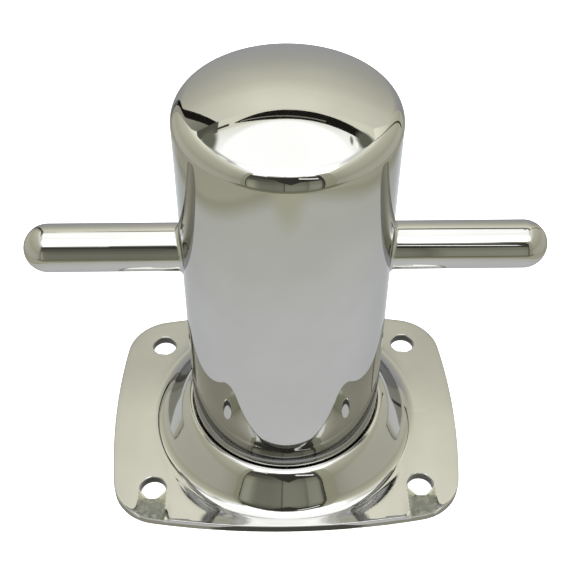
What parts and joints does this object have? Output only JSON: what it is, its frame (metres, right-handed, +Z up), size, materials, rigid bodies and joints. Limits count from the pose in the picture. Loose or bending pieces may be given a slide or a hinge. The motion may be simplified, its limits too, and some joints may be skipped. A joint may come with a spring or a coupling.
{
  "type": "cross bollard",
  "caption": "Deck bollard: capped round tube post on a pressed, bowed rectangular base plate with bolt holes, and a round-ended crossbar welded through it.",
  "frame": {"origin": "middle of the base plate's underside, on the deck, on the post's axis", "axes": "+Z up along the post; X along the crossbar; Y across it. Front and back are alike"},
  "size_m": [0.15, 0.09, 0.1344],
  "materials": {
    "polished_stainless": "mirror-polished 316 stainless steel",
    "weld_metal": "stainless weld metal as laid, brushed clean, not polished"
  },
  "bodies": {
    "root": {"base_plate": "polished_stainless", "post_tube": "polished_stainless", "top_cap": "polished_stainless", "cap_seam_weld": "polished_stainless", "crossbar": "polished_stainless", "foot_weld": "weld_metal", "crossbar_weld_left": "polished_stainless", "crossbar_weld_right": "polished_stainless"}
  },
  "joints": []
}
